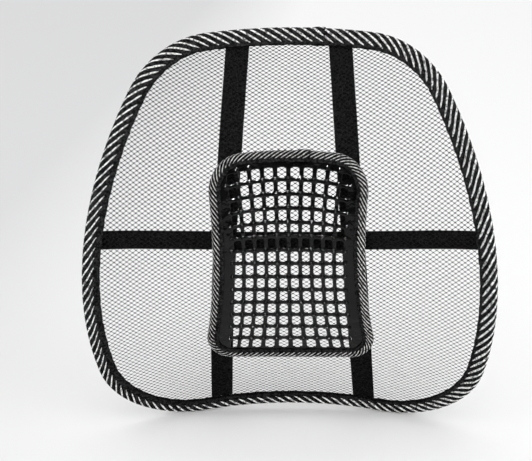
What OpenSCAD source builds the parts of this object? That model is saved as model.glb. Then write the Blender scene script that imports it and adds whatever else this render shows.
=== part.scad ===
// Lumbar support: a sprung wire hoop with a stretched mesh panel, two upright
// webbing straps, an elastic cross strap and a small massage pad on its own wire loop.
// X runs to the right, Z up, and the front (the side the back leans on) faces -Y.
// The hoop lies on a saddle: its sides come forward, its top and bottom rails go back.
// The origin is on the ground, below the middle of the whole object.

/* [Hoop] */
// Radius of the top rail's bow
top_r = 890; // [800:10:1000]
// Angle the top rail turns through on each side of the middle
top_turn = 5.2; // [4.6:0.2:5.8]
// Radius of the upper corners
shoulder_r = 88; // [80:1:100]
// Angle the upper corners turn through
shoulder_turn = 58; // [54:1:60]
// Radius of the bowed side rails
side_r = 458; // [430:1:480]
// Angle the side rails turn through
side_turn = 36.3; // [35:0.1:38]
// Radius of the lower corners
hip_r = 90; // [84:1:98]
// Angle the lower corners turn through
hip_turn = 88.5; // [87:0.5:91]
// How far the side rails come forward
side_fwd = 39; // [20:1:50]
// How far the top and bottom rails go back
rail_back = 57; // [40:1:70]
// How far the straps push the middle of the mesh forward
belly = 18; // [0:1:24]

/* [Wires] */
// Diameter of the hoop's spring wire
wire_d = 5; // [4:0.1:5]
// Diameter of the pad's spring wire
pad_wire_d = 3; // [2.5:0.1:3]
// Gap between the two ends of each wire, inside its sleeve
wire_gap = 1; // [0.5:0.1:2]
// Length of the sleeve that joins the hoop wire's ends
sleeve_l = 20; // [14:1:22]
// Length of the sleeve that joins the pad wire's ends
pad_sleeve_l = 14; // [10:1:16]

/* [Bindings] */
// Thickness of the woven binding tape
tape_t = 0.9; // [0.7:0.1:1]
// Width of the hoop binding, from its outer edge to its inner edge
binding_w = 17; // [15:0.5:19]
// Width of the pad binding, from its outer edge to its inner edge
pad_binding_w = 11.2; // [10.6:0.1:11.4]
// Diameter of the sewing thread
thread_d = 0.5; // [0.4:0.1:0.6]

/* [Mesh and straps] */
// Thickness of the mesh panel
mesh_t = 0.5; // [0.4:0.1:0.6]
// Width of the two upright straps
strap_w = 22.5; // [20:0.5:25]
// Thickness of the webbing and of the elastic
strap_t = 1.4; // [1:0.1:1.6]
// Distance from the middle to each upright strap's centre at the top rail
strap_top_x = 49; // [45:1:60]
// Distance from the middle to each upright strap's centre at the bottom rail
strap_bottom_x = 76; // [70:1:85]
// Width of the elastic cross strap
elastic_w = 18.5; // [15:0.5:20]
// Height of the elastic cross strap's ends above the ground
elastic_z = 221; // [210:1:230]
// How far the elastic hangs down in the middle
elastic_sag = 6; // [0:1:16]

/* [Massage pad] */
// Height of the pad's top edge above the ground
pad_top_z = 301; // [290:1:306]
// Radius of the pad's top edge
pad_top_r = 437; // [400:1:450]
// Angle the pad's top edge turns through on each side of the middle
pad_top_turn = 6; // [5.5:0.1:6.5]
// Radius of the pad's upper corners
pad_corner_r = 34; // [30:1:38]
// Angle the pad's upper corners turn through
pad_corner_turn = 89.8; // [88:0.1:91]
// Radius of the pad's waisted sides
pad_waist_r = 480; // [450:5:500]
// Angle the pad's waisted sides turn through
pad_waist_turn = 17.5; // [16:0.5:18.5]
// Radius of the pad's lower corners
pad_foot_r = 24; // [20:1:28]
// Angle the pad's lower corners turn through
pad_foot_turn = 99.7; // [99:0.1:101]
// Clear space between the mesh and the pad's wire
pad_gap = 5.6; // [5.4:0.1:7]
// Number of holes across the net
net_cols = 10; // [8:1:12]
// Number of holes up the net
net_rows = 14; // [12:1:15]
// Half width of the field of holes at its top
net_top_hw = 59; // [56:0.5:59.5]
// Half width of the field of holes at its waist
net_waist_hw = 52.5; // [48:0.5:56]
// Half width of the field of holes at its foot
net_foot_hw = 61.5; // [56:0.5:64]
// Distance from the pad's top edge to the nearest holes
net_top_margin = 15.2; // [15.2:0.1:16]
// Distance from the pad's bottom edge to the nearest holes
net_foot_margin = 12.6; // [12:0.1:15]
// How much closer the rows are at the net's top than at its foot
net_row_skew = 0.08; // [0:0.01:0.15]
// How far the top rows drop from the net's middle to its sides
net_arch = 7; // [0:0.5:8]
// How much the middle columns spread at the field's top
net_top_spread = 0.05; // [0:0.01:0.15]
// How much the middle columns spread at the field's foot
net_foot_spread = 0.14; // [0:0.01:0.15]
// Width of the net's bars
bar_w = 3.8; // [3:0.1:4.2]
// Thickness of the net's bars
bar_t = 1.3; // [1:0.1:1.3]
// Height of the nubs that stand on the bars' crossings
nub_h = 3.6; // [2:0.1:4]

/* [Hidden] */

STEP_DEG = 10;         // largest turn between two stations of a sweep
STEP_MM = 20;          // largest distance between two stations of a sweep
ROUND_SIDES = 8;       // sides of a swept wire
MESH_RINGS = 7;        // rings between the mesh panel's middle and its edge
STRAP_STEPS = 18;      // stretches along a strap
NUDGE = 0.5;           // step for the saddle's slope
NUB_TAPER = 0.62;      // width of a nub's tip, as a share of its foot

fit = 0.2;             // clearance between a wire, its sleeve and its binding
sleeve_wall = 0.5;
seam_margin = 2;       // from a binding's inner edge to its seam
tack_rows = [1.5, 5];  // distance of a tack's two bars from the strap's end
tack_share = 0.8;      // length of a tack's bar, as a share of the strap's width
tack_half = 4;         // half length of the bars at the pad's corners
tack_stand = 0.6;      // distance from a strap's or leaf's face to a tack bar's middle
ply_gap = 0.3;         // space between layers that lie on each other
edge_slot = 1.4;       // gap between a binding's two leaves, for the mesh or the net's rim
leaf_t = edge_slot / 2 + tape_t;          // half thickness of a binding's flat part

function cavity_r(d) = d / 2 + fit + sleeve_wall + fit;
roll_r = cavity_r(wire_d) + tape_t;       // outer radius of the hoop binding's roll
pad_roll_r = cavity_r(pad_wire_d) + tape_t;

hoop_arcs = [[top_r, top_turn], [shoulder_r, shoulder_turn], [side_r, side_turn], [hip_r, hip_turn]];
pad_arcs = [[pad_top_r, pad_top_turn], [pad_corner_r, pad_corner_turn],
            [-pad_waist_r, -pad_waist_turn], [pad_foot_r, pad_foot_turn]];

// ---- outlines: a chain of tangent arcs, as [x, z] points down the right-hand side ----

function arc_steps(r, turn) = ceil(max(abs(turn) / STEP_DEG, abs(r * turn) * PI / 180 / STEP_MM, 2));
function arc_point(p, h, r, a) = p + r * [sin(h + a) - sin(h), cos(h + a) - cos(h)];

// Points along the arcs from start p and heading h, without the start itself
function arc_chain(arcs, p, h, i = 0) =
    i == len(arcs) ? []
    : let (r = arcs[i][0], t = arcs[i][1], n = arc_steps(r, t))
      concat([for (k = [1:n]) arc_point(p, h, r, t * k / n)],
             arc_chain(arcs, arc_point(p, h, r, t), h + t, i + 1));

// Where a chain of arcs ends
function chain_end(arcs, p = [0, 0], h = 0, i = 0) =
    i == len(arcs) ? p : chain_end(arcs, arc_point(p, h, arcs[i][0], arcs[i][1]), h + arcs[i][1], i + 1);

function total_turn(arcs, i = 0) = i == len(arcs) ? 0 : arcs[i][1] + total_turn(arcs, i + 1);

// The arcs moved inward by some distance, with a last arc that closes the outline at x = 0
function closed_arcs(arcs, inset) =
    let (left = 180 - total_turn(arcs),
         all = concat(arcs, [[chain_end(arcs)[0] / sin(left), left]]))
    [for (a = all) [a[0] - inset, a[1]]];

// The whole outline, clockwise from the top middle, seen from the front
function outline(arcs, top_z, inset) =
    let (half = arc_chain(closed_arcs(arcs, inset), [0, top_z - inset], 0),
         n = len(half))
    concat([[0, top_z - inset]], half, [for (i = [n - 2:-1:0]) [-half[i][0], half[i][1]]]);

// Centre of the i-th arc of a chain that starts at the height top_z
function arc_centre(arcs, top_z, i) =
    let (before = [for (k = [0:1:i - 1]) arcs[k]], h = total_turn(before), r = arcs[i][0])
    [0, top_z] + chain_end(before) - r * [sin(h), cos(h)];

// Where the outline crosses the line on which coordinate axis (0 for x, 1 for z) equals value
function crossings(line, axis, value) =
    [for (i = [0:len(line) - 2])
        let (a = line[i], b = line[i + 1])
        if ((a[axis] - value) * (b[axis] - value) <= 0 && a[axis] != b[axis])
            a[1 - axis] + (b[1 - axis] - a[1 - axis]) * (value - a[axis]) / (b[axis] - a[axis])];

function column(points, i) = [for (p = points) p[i]];

hoop_h = -min(column(outline(hoop_arcs, 0, 0), 1));
hoop_edge = outline(hoop_arcs, hoop_h, 0);
hoop_hw = max(column(hoop_edge, 0));
pad_edge = outline(pad_arcs, pad_top_z, 0);
pad_low_z = min(column(pad_edge, 1));
mid_z = hoop_h / 2;
y_shift = (side_fwd - rail_back) / 2;

// ---- the saddle that everything lies on ----

function saddle_y(x, z) =
    let (u = x / hoop_hw, s = (z - mid_z) / mid_z, open = max(0, 1 - u * u) * max(0, 1 - s * s))
    y_shift - side_fwd * u * u + rail_back * s * s - belly * open * open;

function unit(v) = v / norm(v);

function saddle_normal(x, z) =
    unit([(saddle_y(x + NUDGE, z) - saddle_y(x - NUDGE, z)) / (2 * NUDGE), -1,
          (saddle_y(x, z + NUDGE) - saddle_y(x, z - NUDGE)) / (2 * NUDGE)]);

// A point some distance in front of the saddle
function on_saddle(x, z, front = 0) = [x, saddle_y(x, z), z] + front * saddle_normal(x, z);

// ---- sweeps ----

// [centre, outward direction, front direction] at each [x, z] point of a closed or open line
function frames(line, front, closed) =
    let (n = len(line), c = [for (p = line) on_saddle(p[0], p[1], front)])
    [for (i = [0:n - 1])
        let (next = closed ? (i + 1) % n : min(i + 1, n - 1),
             prev = closed ? (i + n - 1) % n : max(i - 1, 0),
             along = unit(c[next] - c[prev]),
             out = unit(cross(saddle_normal(line[i][0], line[i][1]), along)))
        [c[i], out, cross(along, out)]];

function flip(face) = [for (i = [len(face) - 1:-1:0]) face[i]];
function split(q) = [[q[0], q[1], q[2]], [q[0], q[2], q[3]]];

// Sweeps a section of [outward, front] points through frames, closed or with end caps
module sweep(stations, section, closed) {
    n = len(stations);
    k = len(section);
    points = [for (f = stations, q = section) f[0] + q[0] * f[1] + q[1] * f[2]];
    walls = [for (i = [0:(closed ? n - 1 : n - 2)], j = [0:k - 1])
        let (i2 = (i + 1) % n, j2 = (j + 1) % k)
        each split([i * k + j, i * k + j2, i2 * k + j2, i2 * k + j])];
    first = [for (j = [0:k - 1]) j];
    last = [for (j = first) (n - 1) * k + j];
    polyhedron(points, concat(walls, closed ? [] : [flip(first), last]), convexity = 10);
}

function ring(r, sides, at = [0, 0]) =
    [for (j = [0:sides - 1]) at + r * [cos(360 * j / sides), sin(360 * j / sides)]];

// A tape folded round a wire: a roll, and two leaves that reach inward with a slot between
function folded_tape(outer_r, width) =
    let (inner_r = outer_r - tape_t, tip = outer_r - width,
         slot = edge_slot / 2, open = asin(slot / inner_r), neck = -1.6 * outer_r)
    concat([[tip, leaf_t], [neck, leaf_t]],
           [for (a = [120:-30:-120]) outer_r * [cos(a), sin(a)]],
           [[neck, -leaf_t], [tip, -leaf_t], [tip, -slot]],
           [for (k = [0:6]) let (a = -180 + open + k * (360 - 2 * open) / 6)
               inner_r * [cos(a), sin(a)]],
           [[tip, slot]]);

// A wire bent round the outline, with its two ends at the bottom middle
module open_wire(line, front, d) {
    n = len(line);
    low = line[n / 2][1];
    stations = concat([[-wire_gap / 2, low]], [for (i = [1:n - 1]) line[(n / 2 + i) % n]],
                      [[wire_gap / 2, low]]);
    sweep(frames(stations, front, false), ring(d / 2, ROUND_SIDES), false);
}

// Straight tube crimped over the wire's two ends
module crimp_sleeve(line, front, d, length) {
    translate(on_saddle(0, line[len(line) / 2][1], front))
        rotate([0, 90, 0])
            difference() {
                cylinder(h = length, r = d / 2 + fit + sleeve_wall, center = true, $fn = 32);
                cylinder(h = length + 2, r = d / 2 + fit, center = true, $fn = 32);
            }
}

// A seam's needle thread in front of the binding's leaves and its bobbin thread behind
module seam(stations, inward) {
    for (side = [-1, 1])
        sweep(stations, ring(thread_d / 2, 4, [-inward, side * (leaf_t + thread_d)]), true);
}

// ---- the hoop ----

hoop_line = outline(hoop_arcs, hoop_h, roll_r);
hoop_frames = frames(hoop_line, 0, true);

module frame_wire() {
    color("silver") open_wire(hoop_line, 0, wire_d);
}

module frame_wire_sleeve() {
    color("gray") crimp_sleeve(hoop_line, 0, wire_d, sleeve_l);
}

module frame_binding() {
    color("dimgray") sweep(hoop_frames, folded_tape(roll_r, binding_w), true);
}

module frame_seam_thread() {
    color("black") seam(hoop_frames, binding_w - seam_margin - roll_r);
}

// Closed sheet of the mesh: rings that shrink from the edge to the middle, front and back
module mesh_panel() {
    edge = outline(hoop_arcs, hoop_h, 2 * roll_r + 1);
    n = len(edge);
    centre = [0, mid_z];
    sheet = concat([centre],
                   [for (k = [1:MESH_RINGS], p = edge) centre + (p - centre) * k / MESH_RINGS]);
    m = len(sheet);
    last = 1 + (MESH_RINGS - 1) * n;
    points = [for (side = [1, -1], p = sheet) on_saddle(p[0], p[1], side * mesh_t / 2)];
    fan = [for (i = [0:n - 1]) [0, 1 + i, 1 + (i + 1) % n]];
    bands = [for (k = [0:MESH_RINGS - 2], i = [0:n - 1])
        let (a = 1 + k * n, b = a + n, i2 = (i + 1) % n)
        each split([a + i, b + i, b + i2, a + i2])];
    front = concat(fan, bands);
    back = [for (f = front) [for (v = flip(f)) m + v]];
    rim = [for (i = [0:n - 1])
        let (i2 = (i + 1) % n) each split([last + i, m + last + i, m + last + i2, last + i2])];
    color("darkgray") polyhedron(points, concat(front, back, rim), convexity = 10);
}

// ---- straps ----

strap_back = leaf_t + ply_gap + strap_t / 2;              // strap's middle layer behind the saddle
elastic_back = strap_back + strap_t + ply_gap;
strap_inset = binding_w / 2;                              // strap ends' distance in from the edge

// A flat band whose middle follows an [x, z] line some distance behind the saddle
module flat_strap(line, back, width) {
    w = width / 2;
    t = strap_t / 2;
    sweep(frames(line, -back, false), [[w, t], [w, -t], [-w, -t], [-w, t]], false);
}

// The upright strap on the side 1 (right) or -1 (left), from the top rail to the bottom rail
function strap_line(side) =
    let (high = max(crossings(hoop_edge, 0, strap_top_x)) - strap_inset,
         low = min(crossings(hoop_edge, 0, strap_bottom_x)) + strap_inset)
    [for (i = [0:STRAP_STEPS]) let (k = i / STRAP_STEPS)
        [side * (strap_top_x + (strap_bottom_x - strap_top_x) * k), high + (low - high) * k]];

elastic_end_x = max(crossings(hoop_edge, 1, elastic_z)) - strap_inset;
elastic_line = [for (i = [0:STRAP_STEPS]) let (k = 2 * i / STRAP_STEPS - 1)
    [elastic_end_x * k, elastic_z - elastic_sag * (1 - k * k)]];

module strap_left() {
    color("black") flat_strap(strap_line(-1), strap_back, strap_w);
}

module strap_right() {
    color("black") flat_strap(strap_line(1), strap_back, strap_w);
}

module elastic_strap() {
    color("black") flat_strap(elastic_line, elastic_back, elastic_w);
}

// ---- sewn joints: short bars of packed thread ----

// A bar of thread between two [x, z] points, in front of the saddle or behind it
module thread_bar(a, b, front) {
    sweep(frames([a, (a + b) / 2, b], front, false), ring(thread_d, 6), false);
}

// Two bars across a strap end p, on the strap's back; dir points along the strap
module end_tack(p, dir, width, strap_middle) {
    across = [dir[1], -dir[0]] * width * tack_share / 2;
    back = strap_middle + strap_t / 2 + tack_stand;
    for (k = tack_rows)
        thread_bar(p + dir * k - across, p + dir * k + across, -back);
}

module strap_end_stitches() {
    color("black")
        for (side = [-1, 1]) {
            line = strap_line(side);
            along = unit(line[STRAP_STEPS] - line[0]);
            end_tack(line[0], along, strap_w, strap_back);
            end_tack(line[STRAP_STEPS], -along, strap_w, strap_back);
        }
}

module elastic_end_stitches() {
    color("black")
        for (end = [0, 1])
            end_tack(elastic_line[end * STRAP_STEPS], [1 - 2 * end, 0], elastic_w, elastic_back);
}

// ---- the massage pad ----

pad_line = outline(pad_arcs, pad_top_z, pad_roll_r);
pad_frames = frames(pad_line, pad_gap, true);

module pad_wire() {
    color("silver") open_wire(pad_line, pad_gap, pad_wire_d);
}

module pad_wire_sleeve() {
    color("gray") crimp_sleeve(pad_line, pad_gap, pad_wire_d, pad_sleeve_l);
}

module pad_binding() {
    color("dimgray") sweep(pad_frames, folded_tape(pad_roll_r, pad_binding_w), true);
}

module pad_seam_thread() {
    color("black") seam(pad_frames, pad_binding_w - seam_margin - pad_roll_r);
}

net_hi = pad_top_z - net_top_margin;
net_lo = pad_low_z + net_foot_margin;
bar_u = bar_w / net_waist_hw;             // a bar's width, where the field's half width is 1
pitch_u = (2 + bar_u) / net_cols;
bar_v = bar_w / (net_hi - net_lo);        // a bar's width, where the field's height is 1
pitch_v = (1 + bar_v) / net_rows;

// Half width of the field of holes: a parabola through its foot, waist and top
function net_hw(v) =
    let (k = 2 * v - 1, mean = (net_top_hw + net_foot_hw) / 2)
    net_waist_hw + (mean - net_waist_hw) * k * k + (net_top_hw - net_foot_hw) / 2 * k;

// The rows arch above the waist, and the middle columns spread towards the top and the foot
function net_drop(v) = let (k = max(2 * v - 1, 0)) net_arch * k * (2 - k);
function net_spread(v) = let (k = 2 * v - 1) k * k * (k > 0 ? net_top_spread : net_foot_spread);

// The grid's lines are the two edges of each bar. Odd cells are bars, and even cells are holes,
// but the first and the last cell are the rim, which runs on to be trimmed.
nu = 2 * net_cols + 4;
nv = 2 * net_rows + 4;
function line_at(i, pitch, bar) = floor((i - 1) / 2) * pitch - ((i % 2) * bar);
function grid_u(i) = line_at(i, pitch_u, bar_u) - 1;
function grid_v(j) = line_at(j, pitch_v, bar_v);
function grid_z(i, j) =
    let (v = grid_v(j), u = min(abs(grid_u(i)), 1))
    j == 0 ? pad_low_z : j == nv - 1 ? pad_top_z
    : net_lo + (net_hi - net_lo) * (v + net_row_skew * v * (1 - v)) - net_drop(v) * u * u;
function grid_x(i, j) =
    let (u = grid_u(i), v = min(max(grid_v(j), 0), 1))
    i == 0 ? -hoop_hw / 2 : i == nu - 1 ? hoop_hw / 2
    : u * (1 + net_spread(v) * (1 - u * u)) * net_hw(v);

// False where the pad's rounded corners, some margin in from its edge, would cut a point off
function clear_of_corner(q, centre, r) =
    norm([max(abs(q[0]) - centre[0], 0), max(q[1] - centre[1], 0)]) <= r;
function in_field(q, margin) =
    let (top = arc_centre(pad_arcs, pad_top_z, 1), foot = arc_centre(pad_arcs, pad_top_z, 3))
    clear_of_corner(q, top, pad_corner_r - margin)
    && clear_of_corner([q[0], -q[1]], [foot[0], -foot[1]], pad_foot_r - margin);

// One closed lattice: bars between square holes, with nubs on the bars' crossings
module net_lattice() {
    m = nu * nv;
    xz = [for (j = [0:nv - 1], i = [0:nu - 1]) [grid_x(i, j), grid_z(i, j)]];
    skin = [for (side = [1, -1], p = xz) on_saddle(p[0], p[1], pad_gap + side * bar_t / 2)];
    function quad(c) =
        let (v = c[1] * nu + c[0]) [v, v + 1, v + nu + 1, v + nu];
    function middle(c) = let (q = quad(c)) (xz[q[0]] + xz[q[1]] + xz[q[2]] + xz[q[3]]) / 4;
    function inner(c) = c[0] > 0 && c[0] < nu - 2 && c[1] > 0 && c[1] < nv - 2;
    function is_hole(c) =
        inner(c) && c[0] % 2 == 0 && c[1] % 2 == 0
        && len([for (v = quad(c)) if (!in_field(xz[v], pad_binding_w)) v]) == 0;
    function has_nub(c) =
        inner(c) && c[0] % 2 == 1 && c[1] % 2 == 1 && c[1] > 1
        && in_field(middle(c), pad_binding_w + bar_w / 2);
    cells = [for (j = [0:nv - 2], i = [0:nu - 2]) [i, j]];
    holes = [for (c = cells) if (is_hole(c)) c];
    solid = [for (c = cells) if (!is_hole(c)) c];
    nubs = [for (c = solid) if (has_nub(c)) c];
    tips = [for (c = nubs, v = quad(c))
        let (p = middle(c) + (xz[v] - middle(c)) * NUB_TAPER)
        on_saddle(p[0], p[1], pad_gap + bar_t / 2 + nub_h)];
    flats = [for (c = solid) if (!has_nub(c)) quad(c)];
    backs = [for (c = solid) [for (v = flip(quad(c))) m + v]];
    nub_tops = [for (n = [0:len(nubs) - 1]) [for (e = [0:3]) 2 * m + 4 * n + e]];
    nub_sides = [for (n = [0:len(nubs) - 1], e = [0:3])
        let (q = quad(nubs[n]), t = 2 * m + 4 * n, f = (e + 1) % 4) [q[e], q[f], t + f, t + e]];
    hole_walls = [for (c = holes, e = [0:3])
        let (q = quad(c), f = (e + 1) % 4) [q[f], q[e], m + q[e], m + q[f]]];
    edge = concat([for (i = [0:nu - 2]) [i, i + 1]],
                  [for (j = [0:nv - 2]) [j * nu + nu - 1, (j + 1) * nu + nu - 1]],
                  [for (i = [nu - 1:-1:1]) [(nv - 1) * nu + i, (nv - 1) * nu + i - 1]],
                  [for (j = [nv - 1:-1:1]) [j * nu, (j - 1) * nu]]);
    edge_walls = [for (e = edge) [e[0], m + e[0], m + e[1], e[1]]];
    faces = concat(flats, backs, nub_tops, nub_sides, hole_walls, edge_walls);
    polyhedron(concat(skin, tips), [for (q = faces) each split(flip(q))], convexity = 20);
}

// The lattice's rim is trimmed to lie in the slot of the pad's binding
module massage_net() {
    depth = hoop_h;
    color("black")
        intersection() {
            net_lattice();
            translate([0, depth / 2, 0])
                rotate([90, 0, 0])
                    linear_extrude(height = depth)
                        polygon(outline(pad_arcs, pad_top_z, 2 * pad_roll_r + ply_gap));
        }
}

// Where the pad's four corners are sewn through the mesh to the upright straps
module pad_corner_stitches() {
    front = pad_gap + leaf_t + tack_stand;
    color("black")
        for (side = [-1, 1], corner = [[1, 1], [3, -1]]) {
            r = (pad_arcs[corner[0]][0] - pad_binding_w / 2) * sin(45);
            p = arc_centre(pad_arcs, pad_top_z, corner[0]) + r * [1, corner[1]];
            thread_bar([side * (p[0] - tack_half), p[1]], [side * (p[0] + tack_half), p[1]], front);
        }
}

frame_wire();
frame_wire_sleeve();
frame_binding();
frame_seam_thread();
mesh_panel();
strap_left();
strap_right();
elastic_strap();
strap_end_stitches();
elastic_end_stitches();
pad_wire();
pad_wire_sleeve();
pad_binding();
pad_seam_thread();
massage_net();
pad_corner_stitches();
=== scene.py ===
"""Looks of the mesh lumbar support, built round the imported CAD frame.

Shapes are worked out in millimetres in the frame's axes, with +Z up and the front facing -Y, and become
metres when a piece is made. Everything lies on one saddle: the hoop's sides come forward, and its top and
bottom rails go back.
"""
import math

import bmesh
import bpy
import numpy as np
from mathutils import Matrix, Vector

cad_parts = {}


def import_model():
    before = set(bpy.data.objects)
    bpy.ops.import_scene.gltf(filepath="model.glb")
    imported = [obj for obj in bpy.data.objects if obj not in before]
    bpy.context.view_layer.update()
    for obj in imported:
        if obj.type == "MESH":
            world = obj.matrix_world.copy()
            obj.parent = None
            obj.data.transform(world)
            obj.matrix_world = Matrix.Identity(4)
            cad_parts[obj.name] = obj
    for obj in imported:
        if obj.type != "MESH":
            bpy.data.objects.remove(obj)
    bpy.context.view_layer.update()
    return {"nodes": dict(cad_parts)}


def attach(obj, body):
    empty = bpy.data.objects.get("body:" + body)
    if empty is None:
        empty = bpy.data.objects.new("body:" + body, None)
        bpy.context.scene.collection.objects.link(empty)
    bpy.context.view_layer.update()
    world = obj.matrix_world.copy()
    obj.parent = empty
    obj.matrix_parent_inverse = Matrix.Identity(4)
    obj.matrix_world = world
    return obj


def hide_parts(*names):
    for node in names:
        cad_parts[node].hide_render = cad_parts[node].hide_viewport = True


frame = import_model()

MM = 0.001

# ---- the design's driving sizes, in millimetres and degrees ----

HOOP_ARCS = ((890, 5.2), (88, 58), (458, 36.3), (90, 88.5))  # radius and turn, from the top middle
SIDES_FORWARD, RAILS_BACK, BELLY = 39, 57, 18  # how far the sides, the rails and the middle leave the plane
TAPE_T = 0.9
LEAF = 1.6  # half thickness of a binding's flat part
HOOP_ROLL, HOOP_BINDING_W = 4.3, 17  # radius of the binding's roll over the wire, and its whole width

PAD_ARCS = ((437, 6), (34, 89.8), (-480, -17.5), (24, 99.7))
PAD_TOP = 301
PAD_GAP = 5.6  # from the saddle to the pad's middle layer
PAD_ROLL, PAD_BINDING_W = 3.3, 11.2

NET_COLUMNS, NET_ROWS, NET_ROW_SKEW = 10, 14, 0.08  # holes across and up, and how they crowd at the top
NET_TOP_HW, NET_WAIST_HW, NET_FOOT_HW = 59, 52.5, 61.5  # half widths of the field of holes
NET_TOP_MARGIN, NET_FOOT_MARGIN = 15.2, 12.6  # from the pad's edge to the field
NET_ARCH = 7  # how far the top row's ends hang below its middle
NET_TOP_SPREAD, NET_FOOT_SPREAD = 0.05, 0.14  # how much wider the middle holes are at the top and the foot
BAR_W, BAR_T, NUB_H = 3.8, 1.3, 3.6

STRAP_T, STRAP_W, STRAP_TOP_X, STRAP_BOTTOM_X = 1.4, 22.5, 49, 76
ELASTIC_W, ELASTIC_Z, ELASTIC_SAG = 18.5, 221, 6  # the height is at its ends
PLY_GAP = 0.3  # between layers that lie on each other
STRAP_BACK = LEAF + PLY_GAP + STRAP_T / 2
ELASTIC_BACK = STRAP_BACK + STRAP_T + PLY_GAP

STRIPE_ANGLE = math.radians(33)  # between a stripe and the tape's edge
OVERLAP = 8  # how far a tape's end runs over its start

ARC_STEPS, RAIL_STEP, THREAD_SIDES = 40, 1.0, 6  # how finely arcs, rails and threads are drawn

rng = np.random.default_rng(7)  # for the cloth's small unevenness


# ---- outlines and the saddle ----

def unit(v):
    return v / np.linalg.norm(v, axis=-1, keepdims=True)


def arc_points(start, heading, r, turn):
    """Points along an arc, without its start. The heading turns clockwise from +X."""
    a = heading + turn * np.arange(1, ARC_STEPS + 1) / ARC_STEPS
    return start + r * np.stack((np.sin(a) - math.sin(heading), np.cos(a) - math.cos(heading)), 1)


def outline(arcs, top, inset=0.0):
    """A closed outline as [x, z] points, clockwise from the top middle, seen from the front."""
    radii = [r for r, _ in arcs]
    turns = [math.radians(turn) for _, turn in arcs]
    end, heading = np.zeros(2), 0.0
    for r, turn in zip(radii, turns):
        end = arc_points(end, heading, r, turn)[-1]
        heading += turn
    turns.append(math.pi - heading)
    radii.append(end[0] / math.sin(heading))
    half, heading = [np.array([[0.0, top - inset]])], 0.0
    for r, turn in zip(radii, turns):
        half.append(arc_points(half[-1][-1], heading, r - inset, turn))
        heading += turn
    half = np.concatenate(half)
    return np.concatenate((half, (half * (-1, 1))[-2:0:-1]))


HOOP_H = -outline(HOOP_ARCS, 0)[:, 1].min()
HOOP_EDGE = outline(HOOP_ARCS, HOOP_H)
HALF_W = HOOP_EDGE[:, 0].max()
MID_Z = HOOP_H / 2
Y_SHIFT = (SIDES_FORWARD - RAILS_BACK) / 2  # centres the saddle front to back


def saddle_y(x, z):
    """How far back the saddle is. Its sides and its belly come forward, and its rails go back."""
    u, v = x / HALF_W, (z - MID_Z) / MID_Z
    middle = np.clip(1 - u * u, 0, None) * np.clip(1 - v * v, 0, None)
    return Y_SHIFT - SIDES_FORWARD * u * u + RAILS_BACK * v * v - BELLY * middle**2


def saddle_normal(x, z):
    """The saddle's unit normal, towards the front."""
    nudge = 0.5
    slope_x = (saddle_y(x + nudge, z) - saddle_y(x - nudge, z)) / (2 * nudge)
    slope_z = (saddle_y(x, z + nudge) - saddle_y(x, z - nudge)) / (2 * nudge)
    return unit(np.stack((slope_x, -np.ones_like(slope_x), slope_z), -1))


def on_saddle(x, z, front=0.0):
    """Points some distance in front of the saddle."""
    surface = np.stack((x, saddle_y(x, z), z), -1)
    return surface + np.asarray(front)[..., None] * saddle_normal(x, z)


def crossings(line, axis, value):
    """Where a closed outline crosses the line on which coordinate axis equals value."""
    a, b = line, np.roll(line, -1, 0)
    hit = (a[:, axis] - value) * (b[:, axis] - value) < 0
    a, b = a[hit], b[hit]
    share = (value - a[:, axis]) / (b[:, axis] - a[:, axis])
    return a[:, 1 - axis] + (b[:, 1 - axis] - a[:, 1 - axis]) * share


def inside(line, points):
    """True for each point that lies inside a closed outline."""
    a, b = line, np.roll(line, -1, 0)
    x, z = points[:, 0, None], points[:, 1, None]
    spans = (a[:, 1] > z) != (b[:, 1] > z)
    rise = np.where(b[:, 1] == a[:, 1], 1, b[:, 1] - a[:, 1])
    return (spans & (x < a[:, 0] + (b[:, 0] - a[:, 0]) * (z - a[:, 1]) / rise)).sum(1) % 2 == 1


class Rail:
    """Stations on the saddle along a line, each with its centre, outward and front directions."""

    def __init__(self, line, front, closed=True):
        if closed:
            line = np.vstack((line, line[:1]))
        points = on_saddle(line[:, 0], line[:, 1], front)
        at = np.concatenate(([0], np.cumsum(np.linalg.norm(np.diff(points, axis=0), axis=1))))
        self.closed, self.length = closed, at[-1]
        self.s = np.linspace(0, self.length, round(self.length / RAIL_STEP) + 1)
        x, z = np.interp(self.s, at, line[:, 0]), np.interp(self.s, at, line[:, 1])
        self.centre = on_saddle(x, z, front)
        along = np.gradient(self.centre, axis=0)
        if closed:
            along[0] = along[-1] = self.centre[1] - self.centre[-2]
        along = unit(along)
        self.out = unit(np.cross(saddle_normal(x, z), along))
        self.front = np.cross(along, self.out)

    def place(self, s, out, front):
        """The point at distance s along the rail, and some way outward and to the front of it."""
        s = s % self.length if self.closed else s
        centre, outward, forward = (
            np.stack([np.interp(s, self.s, field[:, k]) for k in range(3)], -1)
            for field in (self.centre, self.out, self.front)
        )
        return centre + out[..., None] * outward + front[..., None] * forward


# ---- making pieces ----

def show(name, node, mesh, material):
    """Shows a mesh, shaded smooth, as a piece on the one body. It stands for a CAD node."""
    mesh.polygons.foreach_set("use_smooth", [True] * len(mesh.polygons))
    mesh.materials.append(material)
    piece = bpy.data.objects.new(name, mesh)
    bpy.context.collection.objects.link(piece)
    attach(piece, "root")
    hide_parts(node)
    return piece


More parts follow.
